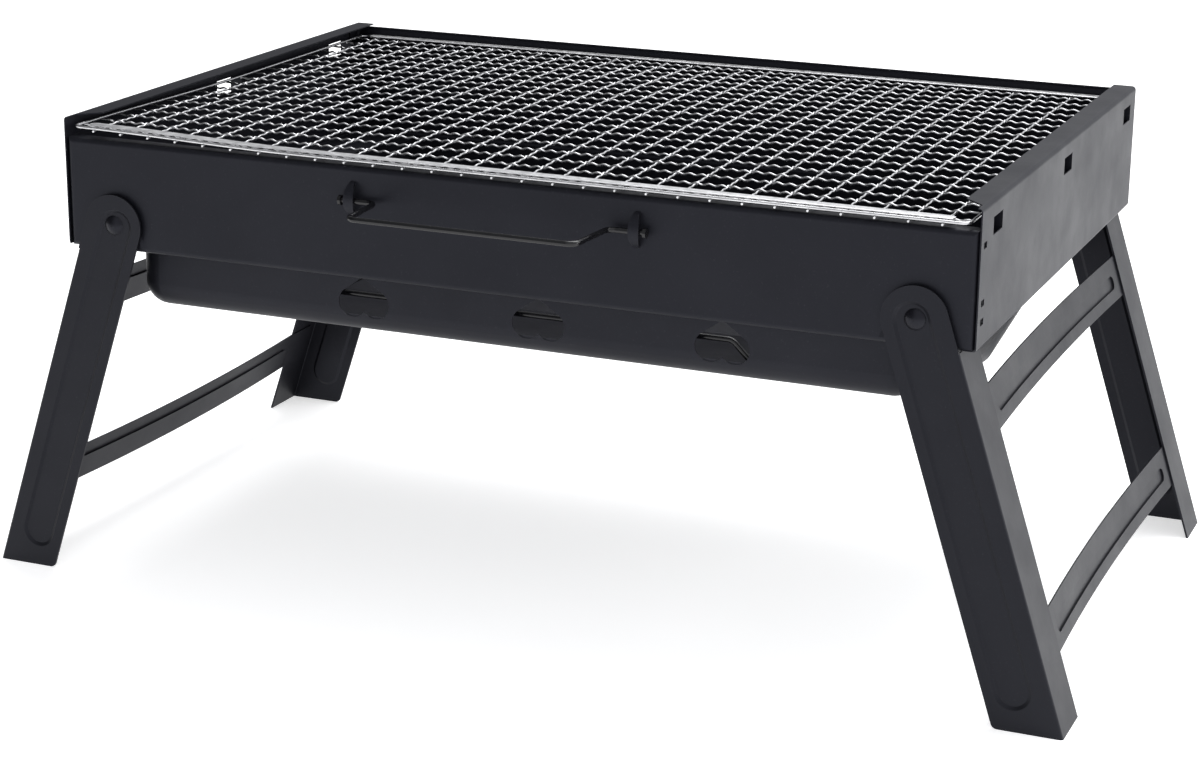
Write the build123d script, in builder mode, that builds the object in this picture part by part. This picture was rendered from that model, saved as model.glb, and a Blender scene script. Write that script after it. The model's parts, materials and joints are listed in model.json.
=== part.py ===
from build123d import *
import math
import os

# Folding camp grill, standing open, in millimetres.
# Origin: on the ground under the middle of the box. +X runs along the box,
# -Y is the front, +Z is up. The two halves are mirror images about the YZ
# plane, except for the air holes of the pan, which sit a little to the right
# with the rods placed clear of them, and the holes in the end panels.

# ---------------------------------------------------------------- box
box_length = 430.0
box_depth = 286.0
box_bottom = 160.6
box_top = 220.8
panel_sheet = 0.6
bend_radius = 2.4
press_draft = 3.0
cut_margin = 1.0
ledge_top = 211.4
ledge_width = 7.0
rear_top = 219.8
rear_hem_width = 1.2
side_flange = 10.0
end_flange_width = 11.0
end_flange_setback = 6.5
end_foot_width = 12.2
end_bend = 2.0
end_gap = 0.5

half_length = box_length / 2
half_depth = box_depth / 2
long_panel = box_length - 2 * (panel_sheet + end_gap)

# lanced holes in the end panels, each with a tab that carries the grate
tab_top = 213.35
tab_reach = 6.5
tab_hole_top = 213.6
tab_hole_height = 7.6
tab_hole_length = 15.0
right_hole_places = (-117.5, 4.0, 125.5)
left_hole_places = (0.0, 118.0)

# small slots near the front edge of each end panel
slot_inset = 6.5
slot_length = 4.6
slot_height = 2.8
slot_heights = (204.5, 180.3, 172.4)

# ---------------------------------------------------------------- legs
splay = 18.1
pivot_x = 189.5
pivot_z = 172.6
leg_sheet = 1.0
leg_half_width = 14.4
leg_proud = 2.6
leg_flange = 26.6
leg_flange_start = 17.6
leg_bend = 1.5
foot_corner = 3.0
recess_width = 16.4
recess_shift = -1.4
recess_depth = 0.9
recess_top = 8.2
recess_foot_gap = 11.0
pad_height = 0.6
pad_low_half = 16.8
pad_high_half = 5.0
pad_high = 185.0
pad_slope = 3.2

leg_face = half_depth + leg_proud
splay_sin = math.sin(math.radians(splay))
splay_cos = math.cos(math.radians(splay))

# crossbars, measured down the leg from the pivot
crossbar_sheet = 0.8
crossbar_width = 20.0
crossbar_end = 138.0
upper_crossbar_from = 38.0
lower_crossbar_from = 137.5
groove_centre = 11.0
groove_width = 9.0
groove_depth = 1.0
groove_end = 111.0
groove_wall = 1.1
crossbar_bow = 3.3
crossbar_flat = 116.0

# rivets
rivet_shank = 2.5
rivet_clearance = 0.05
rivet_head = 4.7
rivet_dome = 2.3
rivet_tail = 4.0
rivet_tail_height = 1.2

rivet_dome_radius = (rivet_head**2 + rivet_dome**2) / (2 * rivet_dome)

# ---------------------------------------------------------------- pan
pan_sheet = 0.6
pan_half_length = 186.9
pan_half_depth = 131.5
pan_corner = 12.0
pan_end_round = 12.0
pan_side_bottom = 133.4
pan_middle_bottom = 112.0
pan_rim_gap = 0.05
rim_half_length = 206.0
rim_half_depth = 135.2
rim_corner = 6.0

pan_rim_under = box_bottom + panel_sheet + pan_rim_gap
pan_rim_top = pan_rim_under + pan_sheet

# heart shaped air holes, point up
heart_count = 3
heart_pitch = 85.4
heart_middle = 16.5
heart_height = 149.0
heart_tip = 9.6
heart_lobe_radius = 6.9
heart_lobe_side = 5.6
heart_lobe_drop = 2.7

# wire stand for the charcoal
grid_rail_radius = 1.3
grid_rail_y = 124.5
grid_rail_z = 148.4
grid_rail_flat = 104.0
grid_foot_run = 13.0
grid_foot_drop = 13.0
grid_bend = 5.0
grid_rod_radius = 1.1
grid_rod_count = 7
grid_rod_pitch = heart_pitch / 3
grid_rod_half = 126.5

# ---------------------------------------------------------------- grate
wire_radius = 0.5
mesh_pitch = 14.2
cross_wire_count = 29
long_wire_count = 20
cross_wire_z = 212.85
long_wire_z = 213.9
long_wire_half = 208.6
grate_front = -143.8
grate_rear = 141.5
wire_proud = 0.4
frame_wire_radius = 0.7
frame_wire_x = 209.6
frame_wire_z = 214.1
frame_wire_corner = 3.5
strip_sheet = 0.5
strip_width = 5.6
strip_inset = 1.6
strip_top = 215.4
strip_half_length = 203.0

grate_middle = (grate_front + grate_rear) / 2

# ---------------------------------------------------------------- handles
handle_radius = 1.25
handle_axis_y = 146.0
handle_axis_z = 196.6
handle_end = 71.8
handle_arm_x = 54.8
handle_bar_x = 52.7
handle_reach = 30.5
handle_bend = 4.0
handle_head_radius = 2.2
handle_head_length = 1.4
bridge_x = 67.1
bridge_middle_z = 197.0
bridge_half_width = 2.4
bridge_half_height = 8.0
bridge_taper_height = 8.5
bridge_opening = 7.1
bridge_stand = 5.4

# ================================================================ shared shapes
def press_slot(face_plane, middle, length, width, depth, sheet, rotation):
    """Press a slot shaped recess into a sheet, raising a boss on its back."""
    for level, mode in ((-sheet, Mode.ADD), (0, Mode.SUBTRACT)):
        with BuildSketch(face_plane.offset(level)) as mouth:
            with Locations(middle):
                SlotOverall(length, width, rotation=rotation)
        with BuildSketch(face_plane.offset(level - depth)) as floor:
            with Locations(middle):
                SlotOverall(length - press_draft, width - press_draft, rotation=rotation)
        loft([mouth.sketch, floor.sketch], mode=mode)


def folded_panel(top, top_flange):
    """A long side panel facing -Y with flanges folded back along all edges."""
    with BuildSketch(Plane.XZ.offset(half_depth)) as outline:
        with Locations((0, (top + box_bottom) / 2)):
            Rectangle(long_panel, top - box_bottom)
    extrude(outline.sketch, amount=-side_flange)
    fillet(faces().sort_by(Axis.Y)[0].edges(), bend_radius)
    offset(amount=-panel_sheet, openings=faces().sort_by(Axis.Y)[-1])
    # the top flange is narrower than the others
    with BuildSketch(Plane.XY.offset(top - bend_radius)) as surplus:
        with Locations((0, -half_depth + (top_flange + side_flange) / 2)):
            Rectangle(long_panel - 2 * panel_sheet, side_flange - top_flange)
    extrude(surplus.sketch, amount=bend_radius, mode=Mode.SUBTRACT)


def pad_outline(level, slope):
    """The two pad outlines on a plane that far in front of the panel."""
    with BuildSketch(Plane.XZ.offset(half_depth + level)) as outlines:
        with Locations((pivot_x, 0), (-pivot_x, 0)):
            Polygon(
                (-pad_low_half + slope, box_bottom + bend_radius),
                (pad_low_half - slope, box_bottom + bend_radius),
                (pad_high_half, pad_high - slope),
                (-pad_high_half, pad_high - slope),
                align=None,
            )
    return outlines.sketch.faces().sort_by(Axis.X)


def leg_pads():
    """Pressed pads that hold the legs off the panel, with the pivot holes."""
    bases = pad_outline(-panel_sheet / 2, 0)
    tops = pad_outline(pad_height, pad_slope)
    for base, top in zip(bases, tops):
        loft([base, top])
    with BuildSketch(Plane.XZ.offset(half_depth + pad_height)) as holes:
        with Locations((pivot_x, pivot_z), (-pivot_x, pivot_z)):
            Circle(rivet_shank + rivet_clearance)
    extrude(holes.sketch, amount=-pad_height - 2 * panel_sheet, mode=Mode.SUBTRACT)


def handle_bridges():
    """Two straps on the panel, narrower at their ends, that hold the handle wire."""
    with BuildSketch(Plane.YZ) as arch:
        with BuildLine():
            outer = ThreePointArc(
                (-half_depth, bridge_middle_z - bridge_half_height),
                (-half_depth - bridge_stand, bridge_middle_z),
                (-half_depth, bridge_middle_z + bridge_half_height),
            )
            inner = ThreePointArc(
                (-half_depth, bridge_middle_z - bridge_opening),
                (-half_depth - bridge_stand + panel_sheet, bridge_middle_z),
                (-half_depth, bridge_middle_z + bridge_opening),
            )
            Line(outer @ 0, inner @ 0)
            Line(outer @ 1, inner @ 1)
        make_face()
    with BuildSketch(Plane.XZ.offset(half_depth)) as outlines:
        with Locations((bridge_x, bridge_middle_z), (-bridge_x, bridge_middle_z)):
            Ellipse(bridge_half_width, bridge_taper_height)
    with BuildPart(mode=Mode.PRIVATE) as strips:
        extrude(arch.sketch, amount=bridge_x + bridge_half_width, both=True)
        extrude(outlines.sketch, amount=2 * bridge_stand, mode=Mode.INTERSECT)
    add(strips.part)


def bent_wire(path, radius):
    """Sweep a round wire along a bent path."""
    with BuildSketch(Plane(origin=path @ 0, z_dir=path % 0)) as section:
        Circle(radius)
    sweep(section.sketch, path=path)


# ================================================================ long panels
with BuildPart() as front_panel:
    folded_panel(ledge_top, ledge_width)
    leg_pads()
    handle_bridges()
front_panel.part.label = "front_panel"

# the rear panel is taller, and its top edge is only a hem behind the grate
with BuildPart() as rear_panel:
    folded_panel(rear_top, rear_hem_width)
    leg_pads()
    handle_bridges()
    mirror(about=Plane.XZ, mode=Mode.REPLACE)
rear_panel.part.label = "rear_panel"


# ================================================================ end panels
def end_panel(hole_places):
    """The right end panel, a C section with lanced holes at the given depths."""
    with BuildSketch(Plane.XZ.offset(half_depth)) as section:
        with BuildLine():
            Polyline(
                (half_length - end_flange_width, box_top),
                (half_length, box_top),
                (half_length, box_bottom),
                (half_length - end_foot_width, box_bottom),
                (half_length - end_foot_width, box_bottom + panel_sheet),
                (half_length - panel_sheet, box_bottom + panel_sheet),
                (half_length - panel_sheet, box_top - panel_sheet),
                (half_length - end_flange_width, box_top - panel_sheet),
                close=True,
            )
        make_face()
        outer_corners = vertices().group_by(Axis.X)[-1]
        inner_corners = vertices().group_by(Axis.X)[-2]
        fillet(outer_corners, end_bend)
        fillet(inner_corners, end_bend - panel_sheet)
    extrude(section.sketch, amount=-box_depth)
    # the bottom flange stops short of the front and rear panels
    foot_middle = half_length - panel_sheet - end_foot_width / 2
    foot_end = half_depth - side_flange / 2
    with BuildSketch(Plane.XY.offset(box_bottom)) as foot_ends:
        with Locations((foot_middle, foot_end), (foot_middle, -foot_end)):
            Rectangle(end_foot_width, side_flange + 2 * pan_rim_gap)
    extrude(foot_ends.sketch, amount=end_bend, mode=Mode.SUBTRACT)
    # front end of the top flange, cut back at an angle
    flange_end = -half_depth + end_flange_setback
    with BuildSketch(Plane.XY.offset(box_top - end_bend)) as flange_cut:
        with BuildLine():
            Polyline(
                (half_length - end_flange_width, -half_depth),
                (half_length - end_bend, -half_depth),
                (half_length - end_bend, flange_end),
                (
                    half_length - end_flange_width,
                    flange_end + end_flange_width - end_bend,
                ),
                close=True,
            )
        make_face()
    extrude(flange_cut.sketch, amount=end_bend, mode=Mode.SUBTRACT)
    # lanced holes, each with its tab bent inwards about its rear edge
    hole_middle = tab_hole_top - tab_hole_height / 2
    hole_bottom = tab_hole_top - tab_hole_height
    with BuildSketch(Plane.YZ.offset(half_length + cut_margin)) as holes:
        with Locations([(y, hole_middle) for y in hole_places]):
            Rectangle(tab_hole_length, tab_hole_height)
        slot_y = -half_depth + slot_inset
        with Locations([(slot_y, z) for z in slot_heights]):
            Rectangle(slot_length, slot_height)
    extrude(holes.sketch, amount=-2 * cut_margin, mode=Mode.SUBTRACT)
    tab_x = half_length - tab_reach / 2
    tab_shift = (tab_hole_length - panel_sheet) / 2
    with BuildSketch(Plane.XY.offset(hole_bottom)) as tabs:
        with Locations([(tab_x, y + tab_shift) for y in hole_places]):
            Rectangle(tab_reach, panel_sheet)
    extrude(tabs.sketch, amount=tab_top - hole_bottom)


with BuildPart() as right_end_panel:
    end_panel(right_hole_places)
right_end_panel.part.label = "right_end_panel"

# the left one has no hole near its front
with BuildPart() as left_end_panel:
    end_panel(left_hole_places)
    mirror(about=Plane.YZ, mode=Mode.REPLACE)
left_end_panel.part.label = "left_end_panel"


# ================================================================ charcoal pan
def heart_outline():
    """Two round lobes and a point joined by lines tangent to the lobes."""
    tip_to_lobe = math.hypot(heart_lobe_side, heart_tip + heart_lobe_drop)
    tangent = math.sqrt(tip_to_lobe**2 - heart_lobe_radius**2)
    lobe_direction = math.atan2(heart_lobe_side, heart_tip + heart_lobe_drop)
    half_point = lobe_direction + math.asin(heart_lobe_radius / tip_to_lobe)
    shoulder = (tangent * math.sin(half_point), heart_tip - tangent * math.cos(half_point))
    with BuildSketch() as heart:
        with Locations(
            (heart_lobe_side, -heart_lobe_drop),
            (-heart_lobe_side, -heart_lobe_drop),
        ):
            Circle(heart_lobe_radius)
        Polygon(
            (0, heart_tip),
            (-shoulder[0], shoulder[1]),
            (-heart_lobe_side, -heart_lobe_drop),
            (heart_lobe_side, -heart_lobe_drop),
            shoulder,
            align=None,
        )
    return heart.sketch


heart = heart_outline()

with BuildPart() as charcoal_pan:
    # a tub with a shallow V for its bottom
    with BuildSketch(Plane.YZ):
        with BuildLine():
            Polyline(
                (-pan_half_depth, pan_rim_top),
                (pan_half_depth, pan_rim_top),
                (pan_half_depth, pan_side_bottom),
                (0, pan_middle_bottom),
                (-pan_half_depth, pan_side_bottom),
                close=True,
            )
        make_face()
    extrude(amount=pan_half_length, both=True)
    fillet(edges().filter_by(Axis.Z), pan_corner)
    tub_bottom = edges().filter_by_position(
        Axis.Z, pan_middle_bottom - cut_margin, pan_side_bottom + cut_margin
    )
    fillet(tub_bottom.filter_by(Axis.X, reverse=True), pan_end_round)
    offset(amount=-pan_sheet, openings=faces().sort_by(Axis.Z)[-1])
    with BuildSketch(Plane.XY.offset(pan_rim_under)):
        RectangleRounded(2 * rim_half_length, 2 * rim_half_depth, rim_corner)
        RectangleRounded(
            2 * pan_half_length - pan_sheet,
            2 * pan_half_depth - pan_sheet,
            pan_corner - pan_sheet / 2,
            mode=Mode.SUBTRACT,
        )
    extrude(amount=pan_sheet)
    # air holes through the front wall
    with BuildSketch(Plane.XZ.offset(pan_half_depth + cut_margin)):
        with Locations((heart_middle, heart_height)):
            with GridLocations(heart_pitch, 0, heart_count, 1):
                add(heart)
    extrude(amount=-2 * cut_margin, mode=Mode.SUBTRACT)
charcoal_pan.part.label = "charcoal_pan"


# ================================================================ charcoal stand
with BuildPart() as charcoal_grid_rails:
    foot_x = grid_rail_flat + grid_foot_run
    foot_z = grid_rail_z - grid_foot_drop
    for side in (1, -1):
        with BuildLine(Plane.XZ.offset(side * grid_rail_y)) as rail:
            FilletPolyline(
                (-foot_x, foot_z),
                (-grid_rail_flat, grid_rail_z),
                (grid_rail_flat, grid_rail_z),
                (foot_x, foot_z),
                radius=grid_bend,
            )
        bent_wire(rail.wire(), grid_rail_radius)
charcoal_grid_rails.part.label = "charcoal_grid_rails"

with BuildPart() as charcoal_grid_rods:
    rod_z = grid_rail_z + grid_rail_radius + grid_rod_radius + pan_rim_gap
    # the rods stand clear of the air holes
    rod_middle = heart_middle - grid_rod_pitch / 2
    with BuildSketch(Plane.XZ.offset(grid_rod_half)):
        with Locations((rod_middle, rod_z)):
            with GridLocations(grid_rod_pitch, 0, grid_rod_count, 1):
                Circle(grid_rod_radius)
    extrude(amount=-2 * grid_rod_half)
charcoal_grid_rods.part.label = "charcoal_grid_rods"


# ================================================================ grate
with BuildPart() as grate_cross_wires:
    with BuildSketch(Plane.XZ.offset(-grate_front + wire_proud)):
        with Locations((0, cross_wire_z)):
            with GridLocations(mesh_pitch, 0, cross_wire_count, 1):
                Circle(wire_radius)
    extrude(amount=-(grate_rear - grate_front + wire_proud))
grate_cross_wires.part.label = "grate_cross_wires"

with BuildPart() as grate_long_wires:
    with BuildSketch(Plane.YZ.offset(-long_wire_half)):
        with Locations((grate_middle, long_wire_z)):
            with GridLocations(mesh_pitch, 0, long_wire_count, 1):
                Circle(wire_radius)
    extrude(amount=2 * long_wire_half)
grate_long_wires.part.label = "grate_long_wires"

with BuildPart() as grate_frame_wire:
    frame_depth = grate_rear - grate_front - 2 * frame_wire_radius
    outline_plane = Plane.XY.offset(frame_wire_z)
    with BuildSketch(outline_plane, mode=Mode.PRIVATE) as frame_outline:
        with Locations((0, grate_middle)):
            RectangleRounded(2 * frame_wire_x, frame_depth, frame_wire_corner)
    bent_wire(frame_outline.sketch.face().outer_wire(), frame_wire_radius)
grate_frame_wire.part.label = "grate_frame_wire"

with BuildPart() as grate_front_strip:
    strip_y = grate_front + strip_inset + strip_width / 2
    with BuildSketch(Plane.XY.offset(strip_top)):
        with Locations((0, strip_y)):
            SlotOverall(2 * strip_half_length, strip_width)
    extrude(amount=-strip_sheet)
grate_front_strip.part.label = "grate_front_strip"

with BuildPart() as grate_rear_strip:
    mirror(grate_front_strip.part, about=Plane.XZ.offset(-grate_middle))
grate_rear_strip.part.label = "grate_rear_strip"


# ================================================================ handles
with BuildPart() as front_handle:
    with BuildLine(Plane.XY.offset(handle_axis_z)) as handle_path:
        FilletPolyline(
            (-handle_end, -handle_axis_y),
            (-handle_arm_x, -handle_axis_y),
            (-handle_bar_x, -handle_axis_y - handle_reach),
            (handle_bar_x, -handle_axis_y - handle_reach),
            (handle_arm_x, -handle_axis_y),
            (handle_end, -handle_axis_y),
            radius=handle_bend,
        )
    bent_wire(handle_path.wire(), handle_radius)
    # the ends are upset after assembly so that the wire can't slip out
    for side in (1, -1):
        with BuildSketch(Plane.YZ.offset(side * (handle_end - handle_head_length / 2))):
            with Locations((-handle_axis_y, handle_axis_z)):
                Circle(handle_head_radius)
        extrude(amount=side * handle_head_length)
front_handle.part.label = "front_handle"

with BuildPart() as rear_handle:
    mirror(front_handle.part, about=Plane.XZ)
rear_handle.part.label = "rear_handle"


# ================================================================ legs
# local X runs across the leg towards its outer edge, local Y up the leg
leg_plane = Plane(
    origin=(pivot_x, -leg_face, pivot_z),
    x_dir=(splay_cos, 0, splay_sin),
    z_dir=(0, -1, 0),
)
# the same across the leg, looking down it from where the flange starts
flange_plane = Plane(
    origin=leg_plane.from_local_coords((0, -leg_flange_start, 0)),
    x_dir=leg_plane.x_dir,
    z_dir=-leg_plane.y_dir,
)

with BuildPart() as leg_front_right:
    leg_length = pivot_z / splay_cos
    run_out = 2 * leg_half_width
    with BuildSketch(leg_plane):
        Circle(leg_half_width)
        with Locations((0, -leg_flange_start / 2)):
            Rectangle(2 * leg_half_width, leg_flange_start)
        with Locations((-leg_bend / 2, -(leg_length + run_out) / 2)):
            Rectangle(2 * leg_half_width - leg_bend, leg_length + run_out)
    extrude(amount=-leg_sheet)
    # the flange along the outer edge is also the stop against the box
    with BuildSketch(flange_plane):
        with BuildLine():
            Polyline(
                (leg_half_width - 2 * leg_bend, 0),
                (leg_half_width, 0),
                (leg_half_width, -leg_flange),
                (leg_half_width - leg_sheet, -leg_flange),
                (leg_half_width - leg_sheet, -leg_sheet),
                (leg_half_width - 2 * leg_bend, -leg_sheet),
                close=True,
            )
        make_face()
        bend = vertices().sort_by_distance((leg_half_width, 0))
        fillet(bend[0], leg_bend)
        bend = vertices().sort_by_distance((leg_half_width - leg_sheet, -leg_sheet))
        fillet(bend[0], leg_bend - leg_sheet)
    extrude(amount=leg_length + run_out - leg_flange_start)
    # the foot is cut level with the ground
    split(bisect_by=Plane.XY, keep=Keep.TOP)
    foot_edges = edges().filter_by(Axis.Y).group_by(Axis.Z)[0]
    fillet(foot_edges.sort_by(Axis.X)[0], foot_corner)
    # long pressed recess that also takes the rivet head
    recess_length = leg_length + recess_top - recess_foot_gap
    press_slot(
        leg_plane,
        (recess_shift, recess_top - recess_length / 2),
        recess_length,
        recess_width,
        recess_depth,
        leg_sheet,
        rotation=90,
    )
    with BuildSketch(leg_plane):
        Circle(rivet_shank + rivet_clearance)
    extrude(amount=-2 * leg_sheet, mode=Mode.SUBTRACT)
leg_front_right.part.label = "leg_front_right"

with BuildPart() as leg_front_left:
    mirror(leg_front_right.part, about=Plane.YZ)
leg_front_left.part.label = "leg_front_left"

with BuildPart() as leg_rear_right:
    mirror(leg_front_right.part, about=Plane.XZ)
leg_rear_right.part.label = "leg_rear_right"

with BuildPart() as leg_rear_left:
    mirror(leg_rear_right.part, about=Plane.YZ)
leg_rear_left.part.label = "leg_rear_left"


# ================================================================ crossbars
def bowed_layer(face, first, last):
    """The bowed strip's cross section between two depths under its face."""
    with BuildSketch(Plane(origin=face.origin, x_dir=face.x_dir, z_dir=face.y_dir)) as layer:
        with BuildLine():
            near_start = Line((-crossbar_end, first), (-crossbar_flat, first))
            near_end = Line((crossbar_flat, first), (crossbar_end, first))
            far_start = Line((-crossbar_end, last), (-crossbar_flat, last))
            far_end = Line((crossbar_flat, last), (crossbar_end, last))
            ThreePointArc(near_start @ 1, (0, first + crossbar_bow), near_end @ 0)
            ThreePointArc(far_start @ 1, (0, last + crossbar_bow), far_end @ 0)
            Line(near_start @ 0, far_start @ 0)
            Line(near_end @ 1, far_end @ 1)
        make_face()
    return layer.sketch


def bowed_groove(face, first, last, narrower, mode):
    """Add or remove the part of a bowed layer that lies within the groove."""
    reach = 2 * (groove_depth + crossbar_sheet + crossbar_bow)
    with BuildSketch(face) as outline:
        with Locations((0, groove_centre)):
            SlotOverall(2 * (groove_end - narrower), groove_width - 2 * narrower)
    with BuildPart(mode=Mode.PRIVATE) as groove:
        extrude(bowed_layer(face, first, last), amount=crossbar_width)
        extrude(outline.sketch, amount=reach, both=True, mode=Mode.INTERSECT)
    add(groove.part, mode=mode)


def crossbar(from_pivot):
    """A grooved strip between the right legs, bowed away from their flanges."""
    outward = leg_half_width - leg_sheet
    # local X runs to the front, local Y down the leg, and Z out of the strip
    face = Plane(
        origin=(
            pivot_x + splay_cos * outward + splay_sin * from_pivot,
            0,
            pivot_z + splay_sin * outward - splay_cos * from_pivot,
        ),
        x_dir=(0, -1, 0),
        z_dir=(splay_cos, 0, splay_sin),
    )
    boss = crossbar_sheet + groove_depth
    extrude(bowed_layer(face, 0, crossbar_sheet), amount=crossbar_width)
    bowed_groove(face, 0, boss, 0, Mode.ADD)
    bowed_groove(face, -cut_margin, groove_depth, groove_wall, Mode.SUBTRACT)


with BuildPart() as upper_crossbar_right:
    crossbar(upper_crossbar_from)
upper_crossbar_right.part.label = "upper_crossbar_right"

with BuildPart() as lower_crossbar_right:
    crossbar(lower_crossbar_from)
lower_crossbar_right.part.label = "lower_crossbar_right"

with BuildPart() as upper_crossbar_left:
    mirror(upper_crossbar_right.part, about=Plane.YZ)
upper_crossbar_left.part.label = "upper_crossbar_left"

with BuildPart() as lower_crossbar_left:
    mirror(lower_crossbar_right.part, about=Plane.YZ)
lower_crossbar_left.part.label = "lower_crossbar_left"


# ================================================================ pivot rivets
with BuildPart() as rivet_front_right:
    head_y = -leg_face + recess_depth - rivet_clearance
    tail_y = -half_depth + panel_sheet + rivet_clearance
    with BuildSketch(Plane(origin=(pivot_x, 0, pivot_z))):
        with BuildLine():
            dome = RadiusArc((rivet_head, head_y), (0, head_y - rivet_dome), rivet_dome_radius)
            Polyline(
                dome @ 1,
                (0, tail_y + rivet_tail_height),
                (rivet_tail, tail_y + rivet_tail_height),
                (rivet_tail, tail_y),
                (rivet_shank, tail_y),
                (rivet_shank, head_y),
                dome @ 0,
            )
        make_face()
    revolve(axis=Axis((pivot_x, 0, pivot_z), (0, 1, 0)))
rivet_front_right.part.label = "rivet_front_right"

with BuildPart() as rivet_front_left:
    mirror(rivet_front_right.part, about=Plane.YZ)
rivet_front_left.part.label = "rivet_front_left"

with BuildPart() as rivet_rear_right:
    mirror(rivet_front_right.part, about=Plane.XZ)
rivet_rear_right.part.label = "rivet_rear_right"

with BuildPart() as rivet_rear_left:
    mirror(rivet_rear_right.part, about=Plane.YZ)
rivet_rear_left.part.label = "rivet_rear_left"


# ================================================================ files
pieces = (
    front_panel,
    rear_panel,
    left_end_panel,
    right_end_panel,
    charcoal_pan,
    charcoal_grid_rails,
    charcoal_grid_rods,
    grate_front_strip,
    grate_rear_strip,
    grate_frame_wire,
    grate_cross_wires,
    grate_long_wires,
    front_handle,
    rear_handle,
    leg_front_left,
    leg_front_right,
    leg_rear_left,
    leg_rear_right,
    upper_crossbar_left,
    lower_crossbar_left,
    upper_crossbar_right,
    lower_crossbar_right,
    rivet_front_left,
    rivet_front_right,
    rivet_rear_left,
    rivet_rear_right,
)

os.makedirs("parts", exist_ok=True)
for piece in pieces:
    export_step(piece.part, f"parts/{piece.part.label}.step")
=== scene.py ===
import json
import math

import bmesh
import bpy
from mathutils import Matrix, Vector


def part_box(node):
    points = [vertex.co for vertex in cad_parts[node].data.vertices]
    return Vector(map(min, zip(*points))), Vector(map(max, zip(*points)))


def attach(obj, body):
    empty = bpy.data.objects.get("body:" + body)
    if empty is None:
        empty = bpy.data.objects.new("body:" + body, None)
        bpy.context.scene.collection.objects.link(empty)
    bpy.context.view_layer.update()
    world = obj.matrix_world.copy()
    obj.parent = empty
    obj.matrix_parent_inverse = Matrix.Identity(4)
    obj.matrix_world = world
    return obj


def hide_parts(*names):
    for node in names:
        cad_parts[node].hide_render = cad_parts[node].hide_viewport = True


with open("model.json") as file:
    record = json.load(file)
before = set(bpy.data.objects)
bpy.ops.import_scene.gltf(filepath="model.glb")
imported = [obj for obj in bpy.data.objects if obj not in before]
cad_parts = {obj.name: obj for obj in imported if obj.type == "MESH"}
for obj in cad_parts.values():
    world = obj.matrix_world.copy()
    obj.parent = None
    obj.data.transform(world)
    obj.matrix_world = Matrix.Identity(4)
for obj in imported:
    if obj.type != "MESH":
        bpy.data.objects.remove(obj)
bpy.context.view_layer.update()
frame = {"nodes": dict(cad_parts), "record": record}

MM = 0.001

# ---------------------------------------------------------------- grate sizes
# woven mesh: wires cross at every pitch, with smaller crimps in between
MESH_PITCH = 14.2 * MM
CRIMPS_PER_PITCH = 2.5
WIRE_RADIUS = 0.50 * MM
CROSSING_DEPTH = 0.48 * MM
CROSSING_SHARPNESS = 3
LONG_CRIMP_DEPTH = 0.34 * MM
CROSS_CRIMP_DEPTH = 0.12 * MM
END_FLAT = 6.0 * MM
STEPS_PER_CRIMP = 8
WIRE_SIDES = 8

# rim: a closed wire round the mesh, and a flat strip on each of its long edges
RIM_BEND = 3.5 * MM
RIM_CORNER_STEPS = 6
RIM_SIDES = 10
RIM_STEP = 4.0 * MM
STRIP_END_STEPS = 5
# outline of a strip, with rolled edges: share of its half width, share of its thickness
STRIP_SECTION = (
    (-1.0, 0.1),
    (-1.0, 0.7),
    (-0.9, 0.95),
    (-0.7, 1.0),
    (0.7, 1.0),
    (0.9, 0.95),
    (1.0, 0.7),
    (1.0, 0.1),
    (0.9, 0.0),
    (-0.9, 0.0),
)

# the grate isn't quite flat: it bows up, and its front left corner is sprung
GRATE_CROWN = 3.0 * MM
CORNER_LIFT = 2.5 * MM
CORNER_LIFT_REACH = 115.0 * MM
CORNER_LIFT_DEPTH = 150.0 * MM

# ---------------------------------------------------------------- finishes
# scales are noise features per metre, colours are linear red, green and blue
PAINT_IOR = 1.45
PAINT_SPECULAR = 0.29
PAINT_SHEEN = (0.84, 0.86, 1.0, 1.0)
CLOUD_SCALE = 14.0
SMUDGE_SCALE = 30.0
SPECK_SCALE = 900.0
SPECK_STRENGTH = 0.12
SPECK_WINDOW = (0.62, 0.78)
SPECK_COLOUR = (0.07, 0.07, 0.078)
# painted highlight: a lighter colour painted along sharp edges of the paint, and how far from the
# edge it reaches
EDGE_HIGHLIGHT_COLOUR = (0.05, 0.05, 0.056)
EDGE_HIGHLIGHT_RADIUS = 0.5 * MM
EDGE_SAMPLES = 6
PEEL_SCALE = 520.0
PEEL_HEIGHT = 0.12 * MM
FINE_PEEL_SCALE = 2100.0
FINE_PEEL_HEIGHT = 0.04 * MM

LACQUER_DARK = (0.004, 0.004, 0.005)
LACQUER_LIGHT = (0.008, 0.008, 0.009)
LACQUER_ROUGH = (0.10, 0.18)
LACQUER_CLOUD_SCALE = 60.0
LACQUER_WEAR_SCALE = 150.0
LACQUER_RIPPLE_SCALE = 400.0
LACQUER_RIPPLE_HEIGHT = 0.1 * MM
LACQUER_RIPPLE = 0.25

ZINC_CLOUD_SCALE = 90.0
ZINC_GRIME_SCALE = 260.0
ZINC_SCRATCH_SCALE = 1500.0
ZINC_SCRATCH_HEIGHT = 0.06 * MM
ZINC_SCRATCH = 0.35

# ---------------------------------------------------------------- studio and camera
FLOOR_REACH = 12.0
FLOOR_DARK = (0.84, 0.84, 0.84)
FLOOR_LIGHT = (0.86, 0.86, 0.86)
FLOOR_GRAIN_SCALE = 40.0
FLOOR_ROUGH = 0.9
FLOOR_SPECULAR = 0.1
FLOOR_GLOW = 0.62

# surroundings: their strength at the left and at the right, and where the one turns into the other
WORLD_COLOUR = (0.96, 0.97, 1.0, 1.0)
WORLD_LEFT = 0.14
WORLD_RIGHT = 0.95
WORLD_FROM = -0.55
WORLD_TO = -0.05

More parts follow.
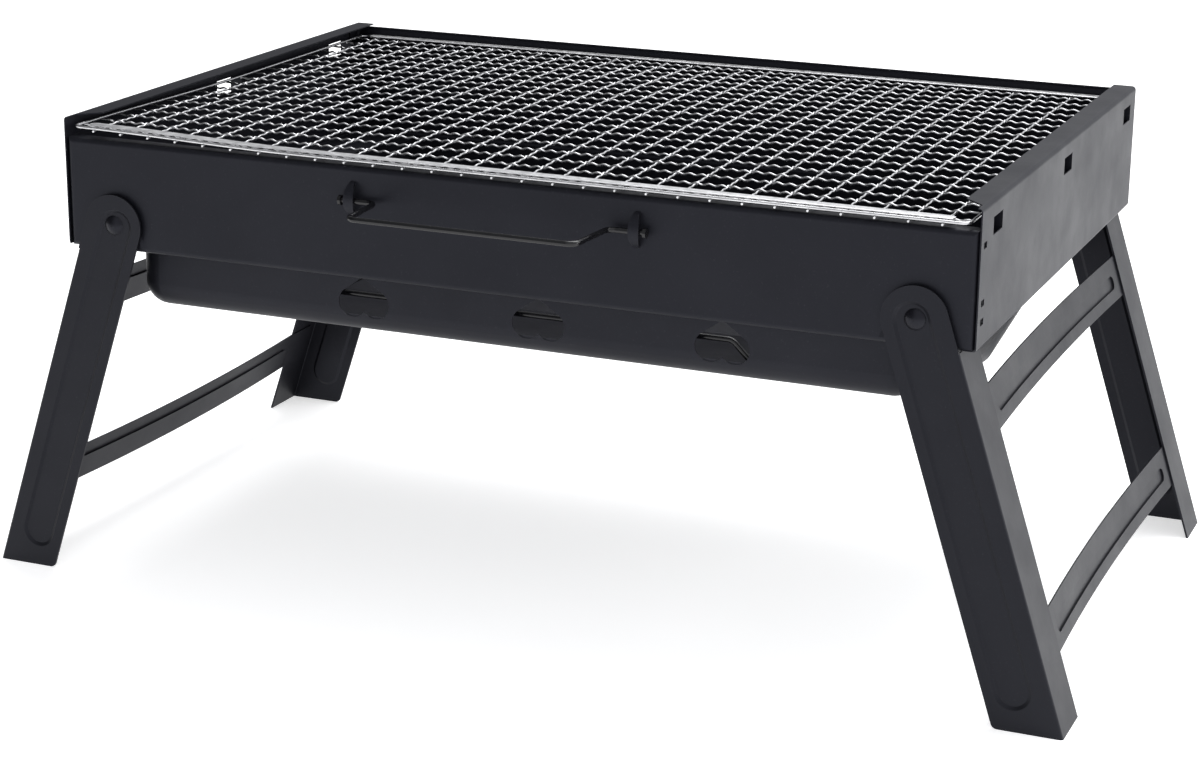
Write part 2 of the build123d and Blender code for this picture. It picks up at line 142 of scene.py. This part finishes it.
OVERHEAD_LAMP = {
    "place": (0.3, 0.9, 2.2),
    "target": (0.0, 0.0, 0.1),
    "size": (2.2, 1.4),
    "power": 42.0,
}
RIGHT_LAMP = {
    "place": (1.9, 0.5, 0.7),
    "target": (0.0, 0.0, 0.12),
    "size": (1.6, 1.3),
    "power": 13.5,
}

CAMERA_PLACE = (0.47976, -1.17666, 0.47038)
CAMERA_YAW = 22.54
CAMERA_DOWN = 16.99
CAMERA_ROLL = 0.584
CAMERA_LENS = 81.75
SENSOR_WIDTH = 36.0
CLIP_START = 0.05


# ---------------------------------------------------------------- node helpers
def new_material(name):
    """A node material that holds only a Principled shader and its output."""
    material = bpy.data.materials.new(name)
    material.use_nodes = True
    tree = material.node_tree
    tree.nodes.clear()
    output = tree.nodes.new("ShaderNodeOutputMaterial")
    shader = tree.nodes.new("ShaderNodeBsdfPrincipled")
    tree.links.new(shader.outputs["BSDF"], output.inputs["Surface"])
    return material, tree, shader


def noise(tree, scale, detail=3.0, roughness=0.5):
    """A noise texture in object coordinates."""
    place = tree.nodes.new("ShaderNodeTexCoord")
    texture = tree.nodes.new("ShaderNodeTexNoise")
    texture.inputs["Scale"].default_value = scale
    texture.inputs["Detail"].default_value = detail
    texture.inputs["Roughness"].default_value = roughness
    tree.links.new(place.outputs["Object"], texture.inputs["Vector"])
    return texture.outputs["Fac"]


def spread(tree, value, low=0.0, high=1.0, from_low=0.3, from_high=0.7):
    """Map a value, such as a noise, onto a range of numbers."""
    mapped = tree.nodes.new("ShaderNodeMapRange")
    mapped.inputs["From Min"].default_value = from_low
    mapped.inputs["From Max"].default_value = from_high
    mapped.inputs["To Min"].default_value = low
    mapped.inputs["To Max"].default_value = high
    tree.links.new(value, mapped.inputs["Value"])
    return mapped.outputs["Result"]


def blend_colours(tree, share, first, second):
    """Mix two colours, each given as a tuple or a socket, by a share socket."""
    mix = tree.nodes.new("ShaderNodeMix")
    mix.data_type = "RGBA"
    tree.links.new(share, mix.inputs["Factor"])
    for name, colour in (("A", first), ("B", second)):
        target = [s for s in mix.inputs if s.name == name and s.type == "RGBA"][0]
        if isinstance(colour, tuple):
            target.default_value = (*colour, 1.0)
        else:
            tree.links.new(colour, target)
    return [s for s in mix.outputs if s.type == "RGBA"][0]


def bump(tree, height, strength, distance, normal=None):
    """A bump node fed by a height socket, and by a first bump if one is given."""
    node = tree.nodes.new("ShaderNodeBump")
    node.inputs["Strength"].default_value = strength
    node.inputs["Distance"].default_value = distance
    tree.links.new(height, node.inputs["Height"])
    if normal is not None:
        tree.links.new(normal, node.inputs["Normal"])
    return node.outputs["Normal"]


def edge_share(tree, radius, gain):
    """How close a point is to a sharp edge: 0 on a flat face, more towards the edge."""
    bevel = tree.nodes.new("ShaderNodeBevel")
    bevel.samples = EDGE_SAMPLES
    bevel.inputs["Radius"].default_value = radius
    geometry = tree.nodes.new("ShaderNodeNewGeometry")
    dot = tree.nodes.new("ShaderNodeVectorMath")
    dot.operation = "DOT_PRODUCT"
    tree.links.new(bevel.outputs["Normal"], dot.inputs[0])
    tree.links.new(geometry.outputs["Normal"], dot.inputs[1])
    turned = tree.nodes.new("ShaderNodeMath")
    turned.operation = "SUBTRACT"
    turned.inputs[0].default_value = 1.0
    tree.links.new(dot.outputs["Value"], turned.inputs[1])
    scaled = tree.nodes.new("ShaderNodeMath")
    scaled.operation = "MULTIPLY"
    scaled.use_clamp = True
    scaled.inputs[1].default_value = gain
    tree.links.new(turned.outputs["Value"], scaled.inputs[0])
    return scaled.outputs["Value"]


# ---------------------------------------------------------------- materials
def powder_coat(name, dark, light, rough, grain, wear_and_edge_highlight):
    """Satin powder paint: fine orange peel, faint clouds and specks, and a painted highlight along
    sharp edges.
    """
    material, tree, shader = new_material(name)
    clouds = noise(tree, CLOUD_SCALE, detail=5.0, roughness=0.6)
    paint = blend_colours(tree, spread(tree, clouds), dark, light)
    specks = noise(tree, SPECK_SCALE, detail=2.0, roughness=0.6)
    speck_share = spread(tree, specks, 0.0, SPECK_STRENGTH, *SPECK_WINDOW)
    speckled = blend_colours(tree, speck_share, paint, SPECK_COLOUR)
    # painted highlight: the paint colour turns lighter along sharp edges
    edge_highlighted = blend_colours(tree, edge_share(tree, EDGE_HIGHLIGHT_RADIUS, wear_and_edge_highlight), speckled, EDGE_HIGHLIGHT_COLOUR)
    tree.links.new(edge_highlighted, shader.inputs["Base Color"])
    smudge = noise(tree, SMUDGE_SCALE, detail=4.0, roughness=0.6)
    tree.links.new(spread(tree, smudge, *rough), shader.inputs["Roughness"])
    shader.inputs["IOR"].default_value = PAINT_IOR
    shader.inputs["Specular IOR Level"].default_value = PAINT_SPECULAR
    shader.inputs["Specular Tint"].default_value = PAINT_SHEEN
    peel = bump(tree, noise(tree, PEEL_SCALE, detail=2.0), grain, PEEL_HEIGHT)
    fine = bump(tree, noise(tree, FINE_PEEL_SCALE, detail=2.0), grain, FINE_PEEL_HEIGHT, peel)
    tree.links.new(fine, shader.inputs["Normal"])
    return material


def gloss_wire(name):
    """Black lacquered wire with cloudy colour, a slight ripple and duller places."""
    material, tree, shader = new_material(name)
    clouds = noise(tree, LACQUER_CLOUD_SCALE, detail=4.0, roughness=0.6)
    paint = blend_colours(tree, spread(tree, clouds), LACQUER_DARK, LACQUER_LIGHT)
    tree.links.new(paint, shader.inputs["Base Color"])
    wear_and_edge_highlight = noise(tree, LACQUER_WEAR_SCALE)
    tree.links.new(spread(tree, wear_and_edge_highlight, *LACQUER_ROUGH), shader.inputs["Roughness"])
    shader.inputs["IOR"].default_value = PAINT_IOR
    ripple = noise(tree, LACQUER_RIPPLE_SCALE, detail=2.0)
    normal = bump(tree, ripple, LACQUER_RIPPLE, LACQUER_RIPPLE_HEIGHT)
    tree.links.new(normal, shader.inputs["Normal"])
    return material


def zinc(name, dark, light, rough):
    """Galvanised steel: cloudy zinc with fine scratches and duller patches."""
    material, tree, shader = new_material(name)
    clouds = noise(tree, ZINC_CLOUD_SCALE, detail=5.0, roughness=0.65)
    metal = blend_colours(tree, spread(tree, clouds), dark, light)
    tree.links.new(metal, shader.inputs["Base Color"])
    shader.inputs["Metallic"].default_value = 1.0
    grime = noise(tree, ZINC_GRIME_SCALE, detail=4.0, roughness=0.6)
    tree.links.new(spread(tree, grime, *rough), shader.inputs["Roughness"])
    scratches = bump(tree, noise(tree, ZINC_SCRATCH_SCALE), ZINC_SCRATCH, ZINC_SCRATCH_HEIGHT)
    tree.links.new(scratches, shader.inputs["Normal"])
    return material


def floor_material(name):
    """Pale matt studio floor with the faintest grain."""
    material, tree, shader = new_material(name)
    grain = noise(tree, FLOOR_GRAIN_SCALE)
    paint = blend_colours(tree, spread(tree, grain), FLOOR_DARK, FLOOR_LIGHT)
    tree.links.new(paint, shader.inputs["Base Color"])
    shader.inputs["Roughness"].default_value = FLOOR_ROUGH
    shader.inputs["Specular IOR Level"].default_value = FLOOR_SPECULAR
    shader.inputs["Emission Color"].default_value = (1.0, 1.0, 1.0, 1.0)
    shader.inputs["Emission Strength"].default_value = FLOOR_GLOW
    return material


# the last number of each powder coat sets how strong its painted edge highlight is
MATERIAL_OF_SLOT = {
    "box_paint": powder_coat(
        "box_paint",
        dark=(0.0050, 0.0052, 0.0075),
        light=(0.0070, 0.0072, 0.0100),
        rough=(0.42, 0.51),
        grain=0.16,
        wear_and_edge_highlight=0.5,
    ),
    "leg_paint": powder_coat(
        "leg_paint",
        dark=(0.0050, 0.0051, 0.0068),
        light=(0.0065, 0.0066, 0.0085),
        rough=(0.40, 0.49),
        grain=0.14,
        wear_and_edge_highlight=0.6,
    ),
    "pan_paint": powder_coat(
        "pan_paint",
        dark=(0.0065, 0.0066, 0.0088),
        light=(0.0090, 0.0092, 0.0120),
        rough=(0.42, 0.51),
        grain=0.14,
        wear_and_edge_highlight=0.5,
    ),
    "rivet_paint": powder_coat(
        "rivet_paint",
        dark=(0.004, 0.004, 0.006),
        light=(0.006, 0.006, 0.008),
        rough=(0.26, 0.35),
        grain=0.10,
        wear_and_edge_highlight=0.4,
    ),
    "black_wire": gloss_wire("black_wire"),
    "galvanised_wire": zinc(
        "galvanised_wire",
        dark=(0.50, 0.50, 0.51),
        light=(0.74, 0.74, 0.75),
        rough=(0.21, 0.38),
    ),
    "galvanised_strip": zinc(
        "galvanised_strip",
        dark=(0.74, 0.74, 0.75),
        light=(0.92, 0.92, 0.93),
        rough=(0.29, 0.46),
    ),
}


def dress_cad_nodes():
    """Give every CAD node the material of its slot."""
    slots = {part["node"]: part["material_slot"] for part in frame["record"]["subparts"]}
    for name, node in frame["nodes"].items():
        node.data.materials.clear()
        node.data.materials.append(MATERIAL_OF_SLOT[slots[name]])
        for face in node.data.polygons:
            face.material_index = 0


# ---------------------------------------------------------------- mesh helpers
def skin(mesh, rings, closed=False):
    """Join rings of vertices into a tube, with a face on each end unless it is closed."""
    following = rings[1:] + rings[:1] if closed else rings[1:]
    for first, second in zip(rings, following):
        for corner in range(len(first)):
            after = (corner + 1) % len(first)
            mesh.faces.new((first[corner], first[after], second[after], second[corner]))
    if not closed:
        mesh.faces.new(list(reversed(rings[0])))
        mesh.faces.new(rings[-1])


def sweep_round(mesh, line, radius, sides, closed=False):
    """Add a round bar along a line of points that never runs upright."""
    rings = []
    last = len(line) - 1
    for index, point in enumerate(line):
        ahead = line[(index + 1) % len(line)] if closed else line[min(index + 1, last)]
        behind = line[index - 1] if closed else line[max(index - 1, 0)]
        tangent = (ahead - behind).normalized()
        side = tangent.cross(Vector((0, 0, 1))).normalized()
        up = side.cross(tangent)
        ring = []
        for corner in range(sides):
            turn = 2 * math.pi * corner / sides
            offset = side * math.cos(turn) + up * math.sin(turn)
            ring.append(mesh.verts.new(point + offset * radius))
        rings.append(ring)
    skin(mesh, rings, closed)


def straight(start, end):
    """Points between two others, without the ends."""
    count = max(1, int(round((end - start).length / RIM_STEP)))
    return [start.lerp(end, step / count) for step in range(1, count)]


def ease(share):
    """A smooth step from 0 to 1."""
    share = max(0.0, min(1.0, share))
    return share * share * (3 - 2 * share)


# ---------------------------------------------------------------- grate
cross_low, cross_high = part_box("grate_cross_wires")
long_low, long_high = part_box("grate_long_wires")
rim_low, rim_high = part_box("grate_frame_wire")
cad_wire_radius = (long_high.z - long_low.z) / 2
# the long wires lie over the cross wires, and the weave is centred between the two layers
weave_level = (cross_high.z + long_low.z) / 2


def lift(x, y):
    """How far the real grate stands above a flat one at that place."""
    across = (2 * x - rim_low.x - rim_high.x) / (rim_high.x - rim_low.x)
    along = (2 * y - rim_low.y - rim_high.y) / (rim_high.y - rim_low.y)
    bow = GRATE_CROWN * max(0.0, 1 - across**2) * max(0.0, 1 - along**2)
    from_left = ease(1 - (x - rim_low.x) / CORNER_LIFT_REACH)
    from_front = ease(1 - (y - rim_low.y) / CORNER_LIFT_DEPTH)
    return bow + CORNER_LIFT * from_left * from_front


def grate_piece(name, mesh, node, slot):
    """Turn a mesh into the visible form of a grate node."""
    bmesh.ops.recalc_face_normals(mesh, faces=mesh.faces)
    data = bpy.data.meshes.new(name)
    mesh.to_mesh(data)
    mesh.free()
    data.materials.append(MATERIAL_OF_SLOT[slot])
    piece = bpy.data.objects.new(name, data)
    bpy.context.scene.collection.objects.link(piece)
    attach(piece, "grate")
    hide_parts(node)
    return piece


def smooth_sides(piece):
    """Smooth shading on the sides of round bars, flat on their ends."""
    for face in piece.data.polygons:
        face.use_smooth = len(face.vertices) == 4


def wire_places(low, high):
    """Middles of the wires of one layer, a pitch apart and centred in the layer."""
    count = int(round((high - low - 2 * cad_wire_radius) / MESH_PITCH)) + 1
    return [(low + high) / 2 + (i - (count - 1) / 2) * MESH_PITCH for i in range(count)]


def crimp_height(from_crossing, crimp_depth):
    """Height of a crimped wire over its own mean level, greatest where it crosses another."""
    phase = 2 * math.pi * from_crossing / MESH_PITCH
    near_crossing = (0.5 + 0.5 * math.cos(phase)) ** CROSSING_SHARPNESS
    depth = crimp_depth + (CROSSING_DEPTH - crimp_depth) * near_crossing
    return depth * math.cos(CRIMPS_PER_PITCH * phase)


def woven_wires(name, node, axis, places, crossing, first_over, crimp_depth):
    """Crimped round wires side by side, along x (axis 0) or y (axis 1).

    One crossing is given, and the others are whole pitches away. Two and a half
    crimps fit between crossings, so a wire passes over and under in turn, and
    the next wire does the opposite. The ends of the wires run level.
    """
    low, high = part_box(node)
    length = high[axis] - low[axis]
    end_level = (low.z + high.z) / 2
    crimp = MESH_PITCH / CRIMPS_PER_PITCH
    steps = int(round(length / crimp * STEPS_PER_CRIMP))
    mesh = bmesh.new()
    for count, place in enumerate(places):
        sign = first_over * (1 if count % 2 == 0 else -1)
        line = []
        for step in range(steps + 1):
            along = low[axis] + length * step / steps
            wave = sign * crimp_height(along - crossing, crimp_depth)
            share = ease(min(along - low[axis], high[axis] - along) / END_FLAT)
            point = Vector((along, place, 0)) if axis == 0 else Vector((place, along, 0))
            level = end_level + (weave_level + wave - end_level) * share
            point.z = level + lift(point.x, point.y)
            line.append(point)
        sweep_round(mesh, line, WIRE_RADIUS, WIRE_SIDES)
    smooth_sides(grate_piece(name, mesh, node, "galvanised_wire"))


def rim_outline(radius):
    """Middle line of the rim wire at height 0: a rectangle with round corners."""
    left, right = rim_low.x + radius, rim_high.x - radius
    front, rear = rim_low.y + radius, rim_high.y - radius
    corners = (
        (right - RIM_BEND, front + RIM_BEND, -90),
        (right - RIM_BEND, rear - RIM_BEND, 0),
        (left + RIM_BEND, rear - RIM_BEND, 90),
        (left + RIM_BEND, front + RIM_BEND, 180),
    )
    outline = []
    for x, y, start in corners:
        arc = []
        for step in range(RIM_CORNER_STEPS + 1):
            turn = math.radians(start + 90 * step / RIM_CORNER_STEPS)
            arc.append(Vector((x + RIM_BEND * math.cos(turn), y + RIM_BEND * math.sin(turn), 0)))
        if outline:
            outline += straight(outline[-1], arc[0])
        outline += arc
    return outline + straight(outline[-1], outline[0])


def rim_wire(name, node):
    """The closed rim wire, following the lift of the mesh."""
    radius = (rim_high.z - rim_low.z) / 2
    level = (rim_high.z + rim_low.z) / 2
    outline = rim_outline(radius)
    for point in outline:
        point.z = level + lift(point.x, point.y)
    mesh = bmesh.new()
    sweep_round(mesh, outline, radius, RIM_SIDES, closed=True)
    smooth_sides(grate_piece(name, mesh, node, "galvanised_wire"))


def strip_stations(length, half_width):
    """Distances along a strip with round ends, each with the strip's half width there."""
    near_end = []
    for step in range(STRIP_END_STEPS):
        turn = math.pi / 2 * (step + 0.5) / STRIP_END_STEPS
        near_end.append((half_width * (1 - math.cos(turn)), half_width * math.sin(turn)))
    middle_length = length - 2 * half_width
    count = int(round(middle_length / RIM_STEP))
    middle = [(half_width + middle_length * step / count, half_width) for step in range(count + 1)]
    far_end = [(length - place, width) for place, width in reversed(near_end)]
    return near_end + middle + far_end


def rim_strip(name, node):
    """A flat strip with round ends and rolled edges, following the lift of the mesh."""
    low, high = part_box(node)
    middle_y = (high.y + low.y) / 2
    thickness = high.z - low.z
    mesh = bmesh.new()
    rings = []
    for place, width in strip_stations(high.x - low.x, (high.y - low.y) / 2):
        x = low.x + place
        ring = []
        for across, level in STRIP_SECTION:
            y = middle_y + across * width
            z = low.z + level * thickness + lift(x, middle_y)
            ring.append(mesh.verts.new((x, y, z)))
        rings.append(ring)
    skin(mesh, rings)
    piece = grate_piece(name, mesh, node, "galvanised_strip")
    for face in piece.data.polygons:
        face.use_smooth = True


def build_grate():
    """The woven mesh with its rim wire and rim strips."""
    cross_places = wire_places(cross_low.x, cross_high.x)
    long_places = wire_places(long_low.y, long_high.y)
    woven_wires(
        "woven_cross_wires",
        "grate_cross_wires",
        axis=1,
        places=cross_places,
        crossing=long_places[0],
        first_over=1,
        crimp_depth=CROSS_CRIMP_DEPTH,
    )
    woven_wires(
        "woven_long_wires",
        "grate_long_wires",
        axis=0,
        places=long_places,
        crossing=cross_places[0],
        first_over=-1,
        crimp_depth=LONG_CRIMP_DEPTH,
    )
    rim_wire("rim_wire", "grate_frame_wire")
    rim_strip("front_rim_strip", "grate_front_strip")
    rim_strip("rear_rim_strip", "grate_rear_strip")


# ---------------------------------------------------------------- studio
def area_light(name, place, target, size, power):
    """A soft rectangular lamp aimed at a point."""
    lamp = bpy.data.lights.new(name, "AREA")
    lamp.shape = "RECTANGLE"
    lamp.size = size[0]
    lamp.size_y = size[1]
    lamp.energy = power
    holder = bpy.data.objects.new(name, lamp)
    holder.location = place
    aim = Vector(target) - Vector(place)
    holder.rotation_euler = aim.to_track_quat("-Z", "Y").to_euler()
    bpy.context.scene.collection.objects.link(holder)


def build_world():
    """Surroundings that are dim at the left and bright from the middle to the right."""
    world = bpy.data.worlds.new("studio")
    world.use_nodes = True
    tree = world.node_tree
    background = tree.nodes["Background"]
    place = tree.nodes.new("ShaderNodeTexCoord")
    parts = tree.nodes.new("ShaderNodeSeparateXYZ")
    tree.links.new(place.outputs["Generated"], parts.inputs["Vector"])
    strength = spread(tree, parts.outputs["X"], WORLD_LEFT, WORLD_RIGHT, WORLD_FROM, WORLD_TO)
    background.inputs["Color"].default_value = WORLD_COLOUR
    tree.links.new(strength, background.inputs["Strength"])
    bpy.context.scene.world = world


def build_floor():
    """A large pale floor at the height of the feet."""
    plane = bpy.data.meshes.new("floor")
    signs = ((-1, -1), (1, -1), (1, 1), (-1, 1))
    corners = [(x * FLOOR_REACH, y * FLOOR_REACH, 0) for x, y in signs]
    plane.from_pydata(corners, [], [(0, 1, 2, 3)])
    plane.materials.append(floor_material("pale_floor"))
    floor = bpy.data.objects.new("floor", plane)
    bpy.context.scene.collection.objects.link(floor)


def build_camera():
    """The camera: in front of the grill, to its right and above it, slightly rolled."""
    data = bpy.data.cameras.new("camera")
    data.lens = CAMERA_LENS
    data.sensor_width = SENSOR_WIDTH
    data.sensor_fit = "HORIZONTAL"
    data.clip_start = CLIP_START
    camera = bpy.data.objects.new("camera", data)
    turn = Matrix.Rotation(math.radians(CAMERA_YAW), 4, "Z")
    tilt = Matrix.Rotation(math.radians(90 - CAMERA_DOWN), 4, "X")
    roll = Matrix.Rotation(math.radians(CAMERA_ROLL), 4, "Z")
    camera.matrix_world = Matrix.Translation(CAMERA_PLACE) @ turn @ tilt @ roll
    bpy.context.scene.collection.objects.link(camera)
    bpy.context.scene.camera = camera


# ---------------------------------------------------------------- the scene
build_grate()
dress_cad_nodes()
build_floor()
build_world()
area_light("overhead_lamp", **OVERHEAD_LAMP)
area_light("right_lamp", **RIGHT_LAMP)
build_camera()
bpy.context.scene.view_settings.view_transform = "Standard"
